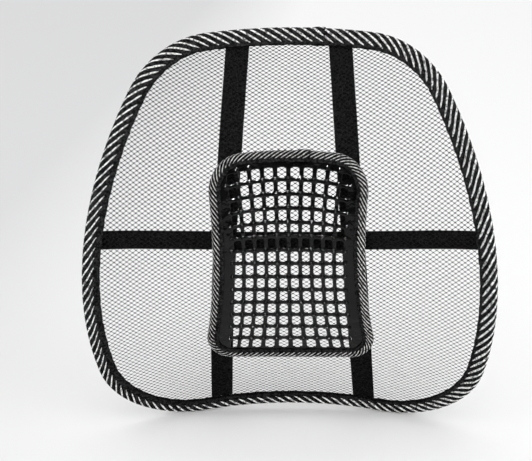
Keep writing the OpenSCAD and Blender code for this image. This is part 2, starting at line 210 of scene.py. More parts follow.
def new_piece(name, node, verts, faces, material, cloth=None):
    """A piece from vertices in mm. cloth gives each vertex its [along, across] place in mm."""
    mesh = bpy.data.meshes.new(name)
    mesh.from_pydata((np.asarray(verts) * MM).tolist(), [], faces)
    if cloth is not None:
        field = mesh.attributes.new("cloth", "FLOAT_VECTOR", "POINT")
        flat = np.zeros((len(verts), 3), np.float32)
        flat[:, :2] = cloth
        field.data.foreach_set("vector", flat.ravel())
    work = bmesh.new()
    work.from_mesh(mesh)
    bmesh.ops.recalc_face_normals(work, faces=work.faces)
    work.to_mesh(mesh)
    work.free()
    show(name, node, mesh, material)


def wall_faces(tubes, rings, sides):
    """Walls of equal tubes whose vertices are in the order tube, ring, side."""
    tube, ring, side = np.meshgrid(np.arange(tubes), np.arange(rings - 1), np.arange(sides), indexing="ij")
    here = (tube * rings + ring) * sides
    after = here + sides
    beside = (side + 1) % sides
    walls = np.stack((here + side, here + beside, after + beside, after + side), -1)
    return walls.reshape(-1, 4).tolist()


def tube_faces(tubes, rings, sides):
    """Faces of equal tubes with plain ends."""
    faces = wall_faces(tubes, rings, sides)
    for t in range(tubes):
        first = t * rings * sides
        last = first + (rings - 1) * sides
        faces.append(list(range(first, first + sides)))
        faces.append(list(range(last, last + sides)))
    return faces


def strip_faces(rings, sides):
    """Faces of one flat tube, whose rings run across its face and return across its underside."""
    faces = wall_faces(1, rings, sides)
    for first in (0, (rings - 1) * sides):
        faces += [[first + k, first + k + 1, first + sides - 2 - k, first + sides - 1 - k]
                  for k in range(sides // 2 - 1)]
    return faces


def threads(paths, normals, radius):
    """Round threads along paths of shape [thread, point, 3], as vertices and faces."""
    along = unit(np.gradient(paths, axis=1))
    across = unit(np.cross(along, normals))
    up = np.cross(across, along)
    a = 2 * math.pi * np.arange(THREAD_SIDES) / THREAD_SIDES
    ring = np.cos(a)[:, None] * across[..., None, :] + np.sin(a)[:, None] * up[..., None, :]
    verts = paths[..., None, :] + radius * ring
    return verts.reshape(-1, 3), tube_faces(*verts.shape[:3])


# ---- bindings ----

# Height, short wave, long wave and phase of the cloth's unevenness
FLUTTER = (0.3, 4.3, 19, 1)  # of a tape's edges, to the front and back
PUCKER = (0.4, 2.1, 7.3, 2)  # of a tape's edges, along its face
RIPPLE = (0.5, 17, 41, 0.6)  # of the elastic, to the front and back
WAIST = (0.006, 9, 31, 0)  # of a strap's width, as a share of it
FLUTTER_REACH, PUCKER_REACH = 6, 4  # how far in from a tape's edge


def smoothstep(t):
    t = np.clip(t, 0, 1)
    return t * t * (3 - 2 * t)


def waves(s, height, short, long, phase):
    """Short waves along a distance, which come and go over longer ones."""
    return height * np.sin(s / short) * np.sin(s / long + phase)


class Tape:
    """A tape folded round a rail's wire, whose end runs over its start at the join.

    Distance w runs across the tape's outer face, from the front leaf's edge, round the roll, to the back
    leaf's edge. Distance s runs along the tape from the join.
    """

    NECK, EASE = 1.6, 0.42  # where the neck starts, in from the wire, and how it eases, in roll radii
    LEAVE = math.radians(115)  # where the round roll ends, from straight outward
    NECK_STEPS, ROLL_STEPS, LEAF_STEP = 7, 12, 0.5
    CORDS, RELIEF = 3, 0.16  # number and height of the cords in the tape's plain edges
    RISE_LENGTH, RISE = 6, 1.15 * TAPE_T  # how the tape's end climbs over its start
    FLATTEST = 0.96  # angle round the rail, in radians, at which the tape isn't pulled to the back
    STRIPE_STEPS = 26
    STRIPE_SECTION = np.array(((-1, -0.4), (-0.8, 0.55), (-0.3, 1), (0.3, 1), (0.8, 0.55), (1, -0.4)))
    TIP_LENGTH, TIP_WIDTH, TIP_HEIGHT = 1.2, 0.35, 0.25  # length in stripe widths, and shares left there
    BOLDER, WOBBLE = 0.14, 0.12  # how much a stripe widens on the right, as painted light, and how much its width differs by chance
    STITCH_SHARE = 0.8  # of the stitches' pitch that shows as thread
    STITCH_ARCH, STITCH_SINK = 2.2, 0.9  # how a stitch bows up and starts below the face, in thread radii

    def __init__(self, rail, roll, width, join, selvedge, pull):
        self.rail, self.join, self.selvedge, self.pull = rail, join, selvedge, pull
        self.end = rail.length + OVERLAP
        path = self.section(roll, width)
        self.w = np.concatenate(([0], np.cumsum(np.linalg.norm(np.diff(path, axis=0), axis=1))))
        self.width = self.w[-1]
        along = unit(np.gradient(path, axis=0))
        self.columns = (path[:, 0], path[:, 1], -along[:, 1], along[:, 0])

    def section(self, roll, width):
        """The folded tape's outer face as [outward, front] points: leaf, neck, round roll, and back."""
        tip, neck = roll - width, -self.NECK * roll
        flat = np.linspace(tip, neck, round((neck - tip) / self.LEAF_STEP) + 1)
        leaf = np.stack((flat, np.full_like(flat, LEAF)), 1)
        sine, cosine = math.sin(self.LEAVE), math.cos(self.LEAVE)
        start, finish = np.array((neck, LEAF)), roll * np.array((cosine, sine))
        ease = self.EASE * roll
        turn_in, turn_out = start + (ease, 0), finish - ease * np.array((sine, -cosine))
        t = np.linspace(0, 1, self.NECK_STEPS + 1)[1:, None]
        bend = ((1 - t)**3 * start + 3 * t * (1 - t)**2 * turn_in
                + 3 * t * t * (1 - t) * turn_out + t**3 * finish)
        a = np.linspace(self.LEAVE, 0, self.ROLL_STEPS + 1)[1:]
        half = np.vstack((leaf, bend, roll * np.stack((np.cos(a), np.sin(a)), 1)))
        return np.vstack((half, (half * (1, -1))[-2::-1]))

    def at(self, s, w, lift=0.0):
        """Points on the tape's outer face, or a distance above it."""
        out, front, up_out, up_front = (np.interp(w, self.w, column) for column in self.columns)
        lift = lift + self.RISE * smoothstep((s - self.rail.length + self.RISE_LENGTH) / self.RISE_LENGTH)
        from_edge = np.minimum(w, self.width - w)
        flutter = waves(s, *FLUTTER) * smoothstep(1 - from_edge / FLUTTER_REACH)
        pucker = waves(s, *PUCKER) * smoothstep(1 - from_edge / PUCKER_REACH)
        out, front = out + lift * up_out + pucker, front + lift * up_front + flutter
        return self.rail.place(s + self.join, out, front)

    def turned(self, s):
        """The angle round the rail at s, clockwise from the top middle."""
        return 2 * math.pi * (s + self.join) / self.rail.length

    def uneven(self, s):
        """How far the tape is pulled to the back: not at the top right, and most at the bottom left."""
        return self.pull * ((1 - np.cos(self.turned(s) - self.FLATTEST)) / 2)**2

    def shell(self, name, node, material, step):
        """The folded tape itself."""
        s = np.linspace(0, self.end, round(self.end / step))
        from_edge = np.minimum(self.w, self.width - self.w)
        cords = self.RELIEF * np.abs(np.sin(math.pi * from_edge / self.selvedge * self.CORDS))
        relief = np.where(from_edge < self.selvedge, cords, 0)
        rise = np.concatenate((relief, np.full(len(self.w), -TAPE_T)))
        w = np.concatenate((self.w, self.w[::-1]))
        s_grid, w_grid = np.meshgrid(s, w, indexing="ij")
        verts = self.at(s_grid, w_grid, np.broadcast_to(rise, s_grid.shape)).reshape(-1, 3)
        cloth = np.stack((s_grid.ravel(), w_grid.ravel()), 1)
        new_piece(name, node, verts, strip_faces(len(s), len(w)), material, cloth)

    def stripes(self, name, node, material, spacing, width, height, lean):
        """Raised yarns that cross the tape on a slant, made wider on the right as painted light on that
        side.

        lean 1 runs inward clockwise, and -1 outward.
        """
        pitch = self.rail.length / round(self.rail.length / spacing)
        slope = lean / math.tan(STRIPE_ANGLE)
        reach = self.width / 2 * abs(slope)
        start = np.arange(-math.ceil(reach / pitch), math.ceil((self.end + reach) / pitch)) * pitch
        ends = np.sort([self.width / 2 - (edge - start) / slope for edge in (1, self.end - 1)], axis=0)
        shift = self.uneven(start + slope * (self.width / 2 - self.selvedge))
        low = np.maximum(ends[0], self.selvedge + shift)
        high = np.minimum(ends[1], self.width - self.selvedge + shift)
        keep = high - low > 2 * width
        start, low, high = (a[keep, None, None] for a in (start, low, high))
        t = np.linspace(0, 1, self.STRIPE_STEPS)[None, :, None]
        middle = low + (high - low) * t
        full = np.minimum(np.minimum(t, 1 - t) * (high - low) / (self.TIP_LENGTH * width), 1)
        # Painted light: the stripes widen towards the right, which brightens that side.
        lit_side_width = 1 + self.BOLDER * np.sin(self.turned(start))
        wobble = 1 + self.WOBBLE * rng.standard_normal(middle.shape)
        taper = self.TIP_WIDTH + (1 - self.TIP_WIDTH) * full
        off = self.STRIPE_SECTION[:, 0] * width / 2 * taper * lit_side_width * wobble
        lift = self.STRIPE_SECTION[:, 1] * height * (self.TIP_HEIGHT + (1 - self.TIP_HEIGHT) * full)
        turn = math.hypot(1, slope)
        s = start + slope * (self.width / 2 - middle) + off / turn
        w = middle + off * slope / turn
        verts = self.at(s, w, lift)
        faces = tube_faces(*verts.shape[:3])
        cloth = np.stack((np.broadcast_to(middle * turn, s.shape).ravel(), off.ravel()), 1)
        new_piece(name, node, verts.reshape(-1, 3), faces, material, cloth)

    def stitches(self, name, node, material, from_edge, pitch, radius):
        """Lockstitches along both leaves."""
        count = round(self.rail.length / pitch)
        pitch = self.rail.length / count
        t = np.linspace(0, 1, 6)
        s = (np.arange(count)[:, None] + (1 - self.STITCH_SHARE) / 2 + self.STITCH_SHARE * t) * pitch
        bow = self.STITCH_ARCH * np.sin(math.pi * t) - self.STITCH_SINK
        rise = np.broadcast_to(radius * bow, s.shape)
        rows = [(self.at(s, np.full_like(s, w), rise), self.at(s, np.full_like(s, w), rise + 1))
                for w in (from_edge, self.width - from_edge)]
        paths = np.concatenate([row[0] for row in rows])
        above = np.concatenate([row[1] for row in rows])
        verts, faces = threads(paths, above - paths, radius)
        new_piece(name, node, verts, faces, material)


# ---- the knitted mesh ----

KNIT_PITCH_X, KNIT_PITCH_Z = 6.63, 4.41  # one repeat of the knit, which holds two holes
YARN_HALF_W, YARN_HALF_T = 0.22, 0.2
KNOT_HALF_L, KNOT_HALF_H, KNOT_HALF_T = 1.1, 0.62, 0.3
KNOT_REACH = 0.72  # from a knot's middle to where its yarns leave
KNIT_SHIFT_X, KNIT_SHIFT_Z, KNOT_UNEVEN = 0.09, 0.07, 0.08  # how far chance moves and lengthens knots
KNIT_SPARE = 1.25  # size of the knit's grid before it is cut to the hoop, in hoop sizes
KNIT_INSET = 2 * HOOP_ROLL + 2  # from the hoop's outside to the knit's edge inside the binding
KNIT_PARTS = ("low", "middle", "high")

# How the knit is stretched: shares of its size by which the hoop's sides and rails move its lines
NARROWED_UP, NARROWED_BESIDE, NARROWED_BY_RAILS = 0.059, 0.057, 0.019
SPREAD_BESIDE, CROWDED_BY_RAILS = 0.084, 0.065
BOWED_BESIDE, BOWED_BY_RAILS = 0.0215, 0.045

# A knot's vertices, by where each kind starts. The centres are one each, and the others four each
FRONT, BACK, RIDGE_FRONT, RIDGE_BACK, RIGHT, LEFT, TIP, KNOT_VERTS = 0, 1, 2, 6, 10, 14, 18, 22
YARN_WAYS = ((1, 1), (-1, 1), (-1, -1), (1, -1))  # from a knot to the four it is joined to, on the grid


def stretched(across, up):
    """Where the stretched knit holds a point of the flat knit. Its rows bow towards the middle."""
    u, v = across / HALF_W, up / MID_Z
    x = across * (1 - NARROWED_UP * v - NARROWED_BESIDE * u * u - NARROWED_BY_RAILS * v * v)
    z = (MID_Z + up * (1 + SPREAD_BESIDE * u * u - CROWDED_BY_RAILS * v * v)
         + MID_Z * (BOWED_BESIDE * u * u - BOWED_BY_RAILS * v * v))
    return x, z


def knit_faces(index, has, part):
    """Faces of the knit by part. index numbers each knot, has tells which knots exist on the grid."""
    grid = np.argwhere(has)
    knot = index[grid[:, 0], grid[:, 1]]
    faces, labels = [], []

    def add(columns, label):
        faces.append(np.stack(columns, 1))
        labels.append(label)

    def vert(which, offset):
        return which * KNOT_VERTS + offset

    label = part[grid[:, 1]]
    for k in range(4):
        tip, next_tip = TIP + k, TIP + (k + 1) % 4
        edge = [(tip, tip), (RIGHT + k, RIGHT + k), (RIDGE_FRONT + k, RIDGE_BACK + k),
                (LEFT + k, LEFT + k), (next_tip, next_tip)]
        for (a_front, a_back), (b_front, b_back) in zip(edge, edge[1:]):
            add((vert(knot, FRONT), vert(knot, a_front), vert(knot, b_front)), label)
            add((vert(knot, BACK), vert(knot, b_back), vert(knot, a_back)), label)

    def cap(which, k, label, turned=False):
        """Closes a yarn's cut end."""
        loop = [vert(which, kind + k) for kind in (RIDGE_FRONT, RIGHT, RIDGE_BACK, LEFT)]
        loop = loop[::-1] if turned else loop
        add((loop[0], loop[1], loop[2]), label)
        add((loop[0], loop[2], loop[3]), label)

    round_near = (RIDGE_FRONT, LEFT, RIDGE_BACK, RIGHT, RIDGE_FRONT)
    round_far = (RIDGE_FRONT, RIGHT, RIDGE_BACK, LEFT, RIDGE_FRONT)
    for k, step in enumerate(YARN_WAYS):
        far = grid + step
        fits = ((far >= 0) & (far < has.shape)).all(1)
        far = np.where(fits[:, None], far, grid)
        joined = fits & has[far[:, 0], far[:, 1]]
        cap(knot[~joined], k, label[~joined])
        other, other_label = index[far[:, 0], far[:, 1]][joined], part[far[:, 1]][joined]
        mine, mine_label = knot[joined], label[joined]
        cut = mine_label != other_label
        cap(mine[cut & (k > 1)], k, mine_label[cut & (k > 1)])
        if k > 1:
            continue
        opposite = k + 2
        cap(other[cut], opposite, mine_label[cut], turned=True)
        for n in range(4):
            a, b = vert(mine, round_near[n] + k), vert(mine, round_near[n + 1] + k)
            c, d = vert(other, round_far[n + 1] + opposite), vert(other, round_far[n] + opposite)
            add((a, d, c), mine_label)
            add((a, c, b), mine_label)
    return np.concatenate(faces), np.concatenate(labels)


def knot_verts(has, middle):
    """Vertices of each knot that exists: its two centres, its four yarns' roots and its four tips."""
    normal = saddle_normal(middle[..., 0], middle[..., 2])
    flat_right = unit(np.gradient(middle, axis=0))
    flat_up = np.cross(normal, flat_right)
    p, n = middle[has], normal[has]
    verts = np.zeros((len(p), KNOT_VERTS, 3))
    verts[:, FRONT], verts[:, BACK] = p + KNOT_HALF_T * n, p - KNOT_HALF_T * n
    here = np.argwhere(has)
    for k, way in enumerate(YARN_WAYS):
        far = np.clip(here + way, 0, (has.shape[0] - 1, has.shape[1] - 1))
        away = unit(middle[far[:, 0], far[:, 1]] - p)
        side = np.cross(n, away)
        ridge = p + KNOT_REACH * away
        verts[:, RIDGE_FRONT + k] = ridge + YARN_HALF_T * n
        verts[:, RIDGE_BACK + k] = ridge - YARN_HALF_T * n
        verts[:, RIGHT + k] = ridge - YARN_HALF_W * side
        verts[:, LEFT + k] = ridge + YARN_HALF_W * side
    reach = KNOT_HALF_L * (1 + KNOT_UNEVEN * rng.standard_normal(len(p)))[:, None]
    ends = (reach * flat_right[has], KNOT_HALF_H * flat_up[has])
    for k in range(4):
        verts[:, TIP + k] = p + ends[k % 2] * (1 if k < 2 else -1)
    return verts.reshape(-1, 3)


def knit(material):
    """The see-through knit: flat oval knots joined by slanting yarns, in a few parts of closed mesh."""
    columns, rows = (4 * math.ceil(half * KNIT_SPARE / pitch) + 1
                     for half, pitch in ((HALF_W, KNIT_PITCH_X), (MID_Z, KNIT_PITCH_Z)))
    i, j = np.meshgrid(np.arange(columns), np.arange(rows), indexing="ij")
    across = (i - columns // 2) * KNIT_PITCH_X / 2
    up = (j - rows // 2) * KNIT_PITCH_Z / 2
    x, z = stretched(across, up)
    x = x + KNIT_SHIFT_X * rng.standard_normal(x.shape)
    z = z + KNIT_SHIFT_Z * rng.standard_normal(z.shape)
    edge = outline(HOOP_ARCS, HOOP_H, KNIT_INSET)
    has = ((i + j) % 2 == 1) & inside(edge, np.stack((x.ravel(), z.ravel()), 1)).reshape(x.shape)
    index = np.cumsum(has.ravel()).reshape(has.shape) - 1
    verts = knot_verts(has, on_saddle(x, z))

    rows_here = np.flatnonzero(has.any(0))
    bands = np.linspace(rows_here[0], rows_here[-1] + 1, len(KNIT_PARTS) + 1)
    part = np.clip(np.searchsorted(bands, np.arange(rows), side="right") - 1, 0, len(KNIT_PARTS) - 1)
    faces, labels = knit_faces(index, has, part)
    for k, place in enumerate(KNIT_PARTS):
        mine = faces[labels == k]
        used, renamed = np.unique(mine, return_inverse=True)
        new_piece(f"mesh_knit_{place}", "mesh_panel", verts[used], renamed.reshape(-1, 3).tolist(),
                  material)


# ---- straps ----

BAND_STEP, RIB_STEPS = 2.5, 5  # how finely a band is drawn along itself, and across each rib
BAND_EDGE, BAND_EDGE_T = 0.7, 0.45  # width of a band's thin edge, and its thickness there as a share
TACK_SHARE, TACK_ROWS = 0.8, (1.8, 5.2)  # bar tacks' share of a strap's width, and distances from its end
TACK_LENGTH, TACK_TURNS, TACK_RADIUS, TACK_LIFT = 1.8, 13, 0.24, 0.25


def band(name, node, line, back, width, ribs, rib_depth, material, ripples=False):
    """Ribbed webbing along an [x, z] line, some distance behind the saddle."""
    rail = Rail(line, -back, closed=False)
    x = np.linspace(-width / 2, width / 2, ribs * RIB_STEPS + 1)
    rib = x * ribs / width + ribs / 2
    crown = rib_depth * np.abs(np.sin(math.pi * rib)) ** 0.6
    edge = smoothstep((width / 2 - np.abs(x)) / BAND_EDGE)
    half_t = (STRAP_T / 2 - rib_depth) * (BAND_EDGE_T + (1 - BAND_EDGE_T) * edge) + crown * edge
    across = np.concatenate((x, x[::-1]))
    depth = np.concatenate((half_t, -half_t[::-1]))
    ribs_at = np.concatenate((rib, rib[::-1] + ribs + 1))
    s = np.linspace(0, rail.length, round(rail.length / BAND_STEP))
    s_grid, across_grid = np.meshgrid(s, across, indexing="ij")
    front = np.broadcast_to(depth, s_grid.shape)
    if ripples:
        front = front - waves(s_grid, *RIPPLE)
    verts = rail.place(s_grid, across_grid * (1 + waves(s_grid, *WAIST)), front)
    cloth = np.stack((s_grid.ravel(), np.broadcast_to(ribs_at, s_grid.shape).ravel()), 1)
    new_piece(name, node, verts.reshape(-1, 3), strip_faces(len(s), len(across)), material, cloth)
    return rail


def strap_line(side):
    """The upright strap on side 1 (right) or -1 (left), from the top rail to the bottom rail."""
    inset = HOOP_BINDING_W / 2
    high = crossings(HOOP_EDGE, 0, STRAP_TOP_X).max() - inset
    low = crossings(HOOP_EDGE, 0, STRAP_BOTTOM_X).min() + inset
    t = np.linspace(0, 1, 60)
    return np.stack((side * (STRAP_TOP_X + (STRAP_BOTTOM_X - STRAP_TOP_X) * t), high + (low - high) * t), 1)


def elastic_line():
    """The elastic, from side rail to side rail, sagging in the middle."""
    end = crossings(HOOP_EDGE, 1, ELASTIC_Z).max() - HOOP_BINDING_W / 2
    t = np.linspace(-1, 1, 90)
    return np.stack((end * t, ELASTIC_Z - ELASTIC_SAG * (1 - t * t)), 1)


def zigzag(rail, s, width, length, turns, front, radius):
    """One bar tack across a rail at s, as a path and its normals. front is its height on the rail."""
    t = np.linspace(0, 1, 6 * turns + 1)
    swing = np.abs((t * turns) % 1 * 2 - 1) * 2 - 1
    at = s + swing * length / 2
    out = (t - 0.5) * width
    rise = front + math.copysign(radius * 0.6, front) * np.cos(t * turns * 4 * math.pi)
    path = rail.place(at, out, rise)
    above = rail.place(at, out, rise + math.copysign(1, front))
    return path, above - path


def tacks(name, node, zigzags, radius, material):
    """One piece of thread from several zigzags."""
    paths, normals = (np.stack(part) for part in zip(*zigzags))
    verts, faces = threads(paths, normals, radius)
    new_piece(name, node, verts, faces, material)


def bar_tacks(name, node, rails, width, material):
    """Two zigzag bars at each end of each strap, on the strap's back."""
    back = -(STRAP_T / 2 + TACK_LIFT)
    made = [zigzag(rail, abs(end - row), width * TACK_SHARE, TACK_LENGTH, TACK_TURNS, back, TACK_RADIUS)
            for rail in rails for end in (0, rail.length) for row in TACK_ROWS]
    tacks(name, node, made, TACK_RADIUS, material)


# ---- the massage net ----

PAD_CORNERS = ((1, 1), (3, -1))  # the arcs that make the pad's corners, each with 1 (top) or -1 (foot)
NET_HIGH = PAD_TOP - NET_TOP_MARGIN
NET_LOW = outline(PAD_ARCS, PAD_TOP)[:, 1].min() + NET_FOOT_MARGIN
BAR_U, BAR_V = BAR_W / NET_WAIST_HW, BAR_W / (NET_HIGH - NET_LOW)
PITCH_U, PITCH_V = (2 + BAR_U) / NET_COLUMNS, (1 + BAR_V) / NET_ROWS
RIM_INSET, GUARD_INSET = 2 * PAD_ROLL + 0.7, 2 * PAD_ROLL + 2.2  # of the net's rim, and of its last bars
# Rings of a tapering nub, from its foot to its flat tip, as (height, share of the foot's width)
NUB_RINGS = ((0.45, 1.25), (0.6 * NUB_H, 1.08), (0.95 * NUB_H, 0.8), (1.04 * NUB_H, 0.35))
HOLE_CREASE = 0.5  # how sharp a hole's corners stay


def field_half_width(v):
    """Half width of the field of holes, v of the way up: wide at the foot and the top, with a waist."""
    k, mean = 2 * v - 1, (NET_TOP_HW + NET_FOOT_HW) / 2
    return NET_WAIST_HW + (mean - NET_WAIST_HW) * k * k + (NET_TOP_HW - NET_FOOT_HW) / 2 * k


def arc_centre(arcs, top, which):
    """Centre of one arc of an outline that starts at the top middle."""
    point, heading = np.array((0.0, top)), 0.0
    for r, turn in arcs[:which]:
        point = arc_points(point, heading, r, math.radians(turn))[-1]
        heading += math.radians(turn)
    return point - arcs[which][0] * np.array((math.sin(heading), math.cos(heading)))


def in_field(point, margin):
    """False where the pad's rounded corners, some margin in from its edge, would cut a point off."""
    for which, sign in PAD_CORNERS:
        centre = arc_centre(PAD_ARCS, PAD_TOP, which)
        over = np.maximum((abs(point[0]) - centre[0], sign * (point[1] - centre[1])), 0)
        if math.hypot(*over) > PAD_ARCS[which][0] - margin:
            return False
    return True


def nearest(line, point):
    return line[np.argmin(((line - point)**2).sum(1))]


def net_grid():
    """[x, z] of the grid's lines, which are the two edges of each bar. The outermost lie in the binding."""
    count_u, count_v = 2 * NET_COLUMNS + 4, 2 * NET_ROWS + 4
    u = np.arange(count_u)
    u = (u - 1) // 2 * PITCH_U - u % 2 * BAR_U - 1
    v = np.arange(count_v)
    v = (v - 1) // 2 * PITCH_V - v % 2 * BAR_V
    u = u[:, None]
    k, high = 2 * np.clip(v, 0, 1) - 1, np.clip(2 * v - 1, 0, None)
    spread = k * k * np.where(k > 0, NET_TOP_SPREAD, NET_FOOT_SPREAD)
    x = u * (1 + spread * (1 - u * u)) * field_half_width(np.clip(v, 0, 1))
    rows = NET_LOW + (NET_HIGH - NET_LOW) * (v + NET_ROW_SKEW * v * (1 - v))
    z = rows - NET_ARCH * high * (2 - high) * np.clip(np.abs(u), 0, 1)**2
    grid = np.stack((x, z), -1)
    rim, guard = (outline(PAD_ARCS, PAD_TOP, inset) for inset in (RIM_INSET, GUARD_INSET))
    for i in range(1, count_u - 1):
        for j in range(1, count_v - 1):
            if not inside(guard, grid[i, j][None])[0]:
                grid[i, j] = nearest(guard, grid[i, j])
    for i in range(count_u):
        for j in range(count_v):
            near = (min(max(i, 1), count_u - 2), min(max(j, 1), count_v - 2))
            if near != (i, j):
                grid[i, j] = nearest(rim, grid[near])
    return grid


def border_cells(count_u, count_v):
    """The grid's outermost places, in a loop."""
    return ([(i, 0) for i in range(count_u)] + [(count_u - 1, j) for j in range(1, count_v)]
            + [(i, count_v - 1) for i in range(count_u - 2, -1, -1)]
            + [(0, j) for j in range(count_v - 2, 0, -1)])


def corners(i, j):
    return [(i, j), (i + 1, j), (i + 1, j + 1), (i, j + 1)]


def net_cage(work, grid):
    """The net's quads: bars, holes between them, and a nub on each crossing."""
    count_u, count_v = grid.shape[:2]
    crease = work.edges.layers.float.new("crease_edge")

    def skin_vert(point, height):
        return work.verts.new(on_saddle(point[0], point[1], PAD_GAP + height) * MM)

    front = [[skin_vert(p, BAR_T / 2) for p in column] for column in grid]
    back = [[skin_vert(p, -BAR_T / 2) for p in column] for column in grid]

    def is_hole(i, j):
        inner = 0 < i < count_u - 2 and 0 < j < count_v - 2
        return (inner and i % 2 == 0 and j % 2 == 0
                and all(in_field(grid[c], PAD_BINDING_W) for c in corners(i, j)))

    def has_nub(i, j, middle):
        inner = 0 < i < count_u - 2 and 1 < j < count_v - 2
        return inner and i % 2 == 1 and j % 2 == 1 and in_field(middle, PAD_BINDING_W + BAR_W / 2)

    def add_nub(loop, points, middle):
        for height, share in NUB_RINGS:
            ring = [skin_vert(middle + (p - middle) * share, BAR_T / 2 + height) for p in points]
            for k in range(4):
                work.faces.new((loop[k], loop[(k + 1) % 4], ring[(k + 1) % 4], ring[k]))
            loop = ring
        work.faces.new(loop)

    for i in range(count_u - 1):
        for j in range(count_v - 1):
            cell = corners(i, j)
            top, under = [front[a][b] for a, b in cell], [back[a][b] for a, b in cell]
            if is_hole(i, j):
                for k in range(4):
                    work.faces.new((top[(k + 1) % 4], top[k], under[k], under[(k + 1) % 4]))
                    work.edges.get((top[k], under[k]))[crease] = HOLE_CREASE
                continue
            work.faces.new(under[::-1])
            middle = np.mean([grid[c] for c in cell], axis=0)
            if has_nub(i, j, middle):
                add_nub(top, [grid[c] for c in cell], middle)
            else:
                work.faces.new(top)
    border = border_cells(count_u, count_v)
    for (a, b), (c, d) in zip(border, border[1:] + border[:1]):
        work.faces.new((front[c][d], front[a][b], back[a][b], back[c][d]))
    bmesh.ops.recalc_face_normals(work, faces=work.faces)


def massage_net(material):
    """The moulded net, as a cage of quads under a subdivision surface."""
    work = bmesh.new()
    net_cage(work, net_grid())
    mesh = bpy.data.meshes.new("massage_net_moulding")
    work.to_mesh(mesh)
    work.free()
    piece = show("massage_net_moulding", "massage_net", mesh, material)
    rounding = piece.modifiers.new("rounding", "SUBSURF")
    rounding.levels = rounding.render_levels = 2


# ---- the pad's corner tacks ----

CORNER_TACK_W, CORNER_TACK_L, CORNER_TACK_TURNS = 1.8, 8, 5
CORNER_TACK_RADIUS, CORNER_TACK_LIFT = 0.22, 0.35


def corner_tacks(material):
    """Zigzag tacks that sew the pad's corners through the mesh to the straps."""
    half = CORNER_TACK_L / 2 + 1
    made = []
    for which, sign in PAD_CORNERS:
        reach = (PAD_ARCS[which][0] - PAD_BINDING_W / 2) * math.sin(math.radians(45))
        x, z = arc_centre(PAD_ARCS, PAD_TOP, which) + reach * np.array((1, sign))
        for side in (-1, 1):
            line = np.stack((side * x + np.linspace(-half, half, 12), np.full(12, z)), 1)
            made.append(zigzag(Rail(line, PAD_GAP, closed=False), half, CORNER_TACK_W, CORNER_TACK_L,
                               CORNER_TACK_TURNS, LEAF + CORNER_TACK_LIFT, CORNER_TACK_RADIUS))
    tacks("pad_corner_tacks", "pad_corner_stitches", made, CORNER_TACK_RADIUS, material)


# ---- materials ----

BLACK = (0.001, 0.001, 0.001)
CLOTH_SPECULAR, CLOTH_ROUGHNESS = 0.02, (0.8, 0.95)
WEFT_ROUND, WARP_ROUND = 0.6, 0.5  # powers that turn a wave into a yarn's round back
WEAVE_FUZZ, FUZZ_CONTRAST, FUZZ_HEIGHT = 460, 1.6, 0.35
NOISE_FROM, NOISE_TO = 0.36, 0.64  # the part of a noise texture's range that holds nearly all of it


class Nodes:
    """Small helper that adds nodes to a material and links them."""

    def __init__(self, name):
        self.material = bpy.data.materials.new(name)
        self.material.use_nodes = True
        self.tree = self.material.node_tree
        self.shader = self.tree.nodes["Principled BSDF"]

    def put(self, target, value):
        """Links a socket to an input, or sets the input to a plain value."""
        if isinstance(value, bpy.types.NodeSocket):
            self.tree.links.new(value, target)
        else:
            target.default_value = value

    def math(self, kind, a, b=0.0):
        node = self.tree.nodes.new("ShaderNodeMath")
        node.operation = kind
        self.put(node.inputs[0], a)
        self.put(node.inputs[1], b)
        return node.outputs[0]

    def cloth(self):
        """The [along, across] place on the cloth, in mm."""
        field = self.tree.nodes.new("ShaderNodeAttribute")
        field.attribute_name = "cloth"
        parts = self.tree.nodes.new("ShaderNodeSeparateXYZ")
        self.tree.links.new(field.outputs["Vector"], parts.inputs[0])
        return parts.outputs[0], parts.outputs[1]

    def noise(self, scale, detail=3.0):
        """Noise that fills 0 to 1, with scale features to the metre."""
        place = self.tree.nodes.new("ShaderNodeTexCoord")
        node = self.tree.nodes.new("ShaderNodeTexNoise")
        node.inputs["Scale"].default_value = scale
        node.inputs["Detail"].default_value = detail
        self.tree.links.new(place.outputs["Object"], node.inputs["Vector"])
        stretch = self.tree.nodes.new("ShaderNodeMapRange")
        stretch.inputs["From Min"].default_value = NOISE_FROM
        stretch.inputs["From Max"].default_value = NOISE_TO
        self.tree.links.new(node.outputs["Fac"], stretch.inputs["Value"])
        return stretch.outputs["Result"]

    def between(self, factor, low, high):
        """A colour between two colours, by a factor."""
        node = self.tree.nodes.new("ShaderNodeMix")
        node.data_type = "RGBA"
        self.put(node.inputs["Factor"], factor)
        node.inputs["A"].default_value = (*low, 1)
        node.inputs["B"].default_value = (*high, 1)
        return node.outputs["Result"]

    def ranged(self, value, low, high):
        """A value from 0 to 1, stretched to run from low to high."""
        node = self.tree.nodes.new("ShaderNodeMapRange")
        self.put(node.inputs["Value"], value)
        node.inputs["To Min"].default_value = low
        node.inputs["To Max"].default_value = high
        return node.outputs["Result"]

    def bump(self, height, distance):
        """Raises the surface by a height, of which 1 stands for the distance in mm."""
        node = self.tree.nodes.new("ShaderNodeBump")
        node.inputs["Distance"].default_value = distance * MM
        self.put(node.inputs["Height"], height)
        self.put(self.shader.inputs["Normal"], node.outputs["Normal"])

    def finish(self, colour, roughness, **inputs):
        """The material, once its shader has its colour, roughness and any other inputs."""
        self.put(self.shader.inputs["Base Color"], colour)
        self.put(self.shader.inputs["Roughness"], roughness)
        for name, value in inputs.items():
            self.put(self.shader.inputs[name.replace("_", " ")], value)
        return self.material


